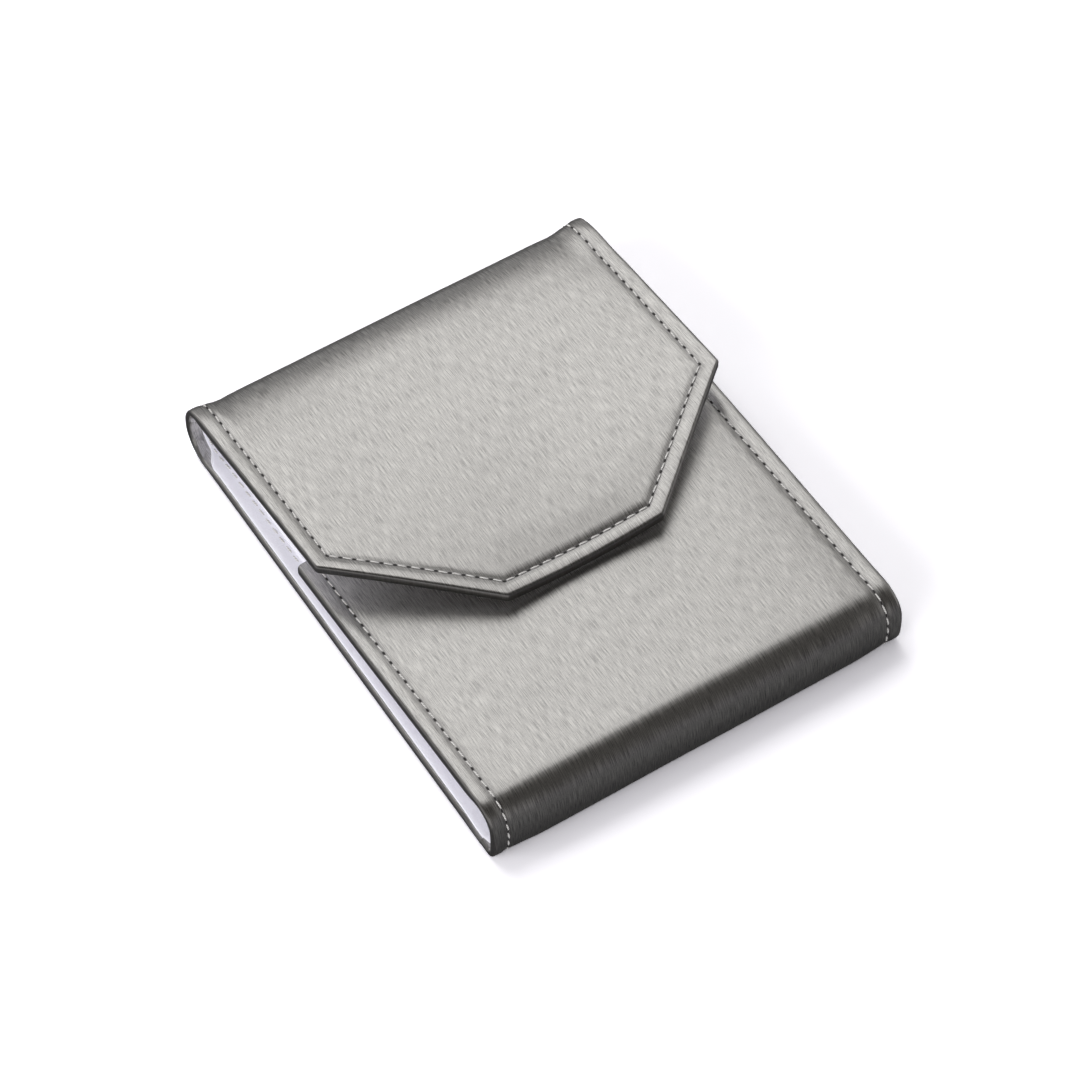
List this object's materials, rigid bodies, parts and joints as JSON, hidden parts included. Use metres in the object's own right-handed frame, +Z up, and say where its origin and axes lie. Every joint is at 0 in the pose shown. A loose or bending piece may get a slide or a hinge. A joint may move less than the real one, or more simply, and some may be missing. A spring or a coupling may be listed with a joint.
{
  "type": "eyeglasses case",
  "caption": "Flat tri-fold eyeglasses case in brushed grey leatherette with a stitched, pointed snap flap and white lining, open at the sides.",
  "frame": {"origin": "centre of the underside, on the surface that the closed case lies on", "axes": "+X across the open sides, +Y from the bottom fold to the top fold where the flap starts, +Z up out of the front"},
  "size_m": [0.12, 0.1482, 0.0259],
  "materials": {
    "leatherette": "coated, brushed metallic grey, satin",
    "board": "grey-brown binder board",
    "foam": "thin foam sheet",
    "lining": "white suede-like lining",
    "insert_cloth": "white brushed cloth",
    "thread": "light grey spun thread",
    "snap_metal": "nickel plated"
  },
  "bodies": {
    "back": {"back_cover": "leatherette", "back_board": "board", "back_lining": "lining", "back_stitching": "thread", "insert_pad_core": "foam", "insert_pad_cover": "insert_cloth", "bottom_low_crease_skin": "leatherette", "top_low_crease_skin": "leatherette"},
    "bottom_spine": {"bottom_spine_cover": "leatherette", "bottom_spine_board": "board", "bottom_spine_lining": "lining", "bottom_spine_stitching": "thread", "bottom_high_crease_skin": "leatherette"},
    "front": {"front_cover": "leatherette", "front_foam": "foam", "front_board": "board", "front_lining": "lining", "front_stitching": "thread", "snap_stud": "snap_metal", "snap_stud_eyelet": "snap_metal"},
    "top_spine": {"top_spine_cover": "leatherette", "top_spine_board": "board", "top_spine_lining": "lining", "top_spine_stitching": "thread", "top_high_crease_skin": "leatherette"},
    "flap": {"flap_cover": "leatherette", "flap_foam": "foam", "flap_board": "board", "flap_lining": "lining", "flap_stitching": "thread", "snap_socket": "snap_metal", "snap_socket_spring": "snap_metal", "snap_hidden_cap": "snap_metal"}
  },
  "joints": [
    {"name": "top_spine_fold", "type": "hinge", "parent": "back", "child": "top_spine", "pos_m": [0, 0.07251, 0.00129], "axis": [-1, 0, 0], "range_deg": [0, 90], "deforming": ["top_low_crease_skin"]},
    {"name": "flap_fold", "type": "hinge", "parent": "top_spine", "child": "flap", "pos_m": [0, 0.07251, 0.01831], "axis": [-1, 0, 0], "range_deg": [0, 84], "deforming": ["top_high_crease_skin", "snap_socket_spring"]},
    {"name": "bottom_spine_fold", "type": "hinge", "parent": "back", "child": "bottom_spine", "pos_m": [0, -0.07311, 0.00069], "axis": [1, 0, 0], "range_deg": [0, 63], "deforming": ["bottom_low_crease_skin"]},
    {"name": "front_fold", "type": "hinge", "parent": "bottom_spine", "child": "front", "pos_m": [0, -0.0723, 0.0161], "axis": [1, 0, 0], "range_deg": [0, 58.8], "deforming": ["bottom_high_crease_skin"]}
  ],
  "couplings": [
    {"joint": "front_fold", "follows": "flap_fold", "ratio": 0.7},
    {"joint": "bottom_spine_fold", "follows": "top_spine_fold", "ratio": 0.7}
  ]
}
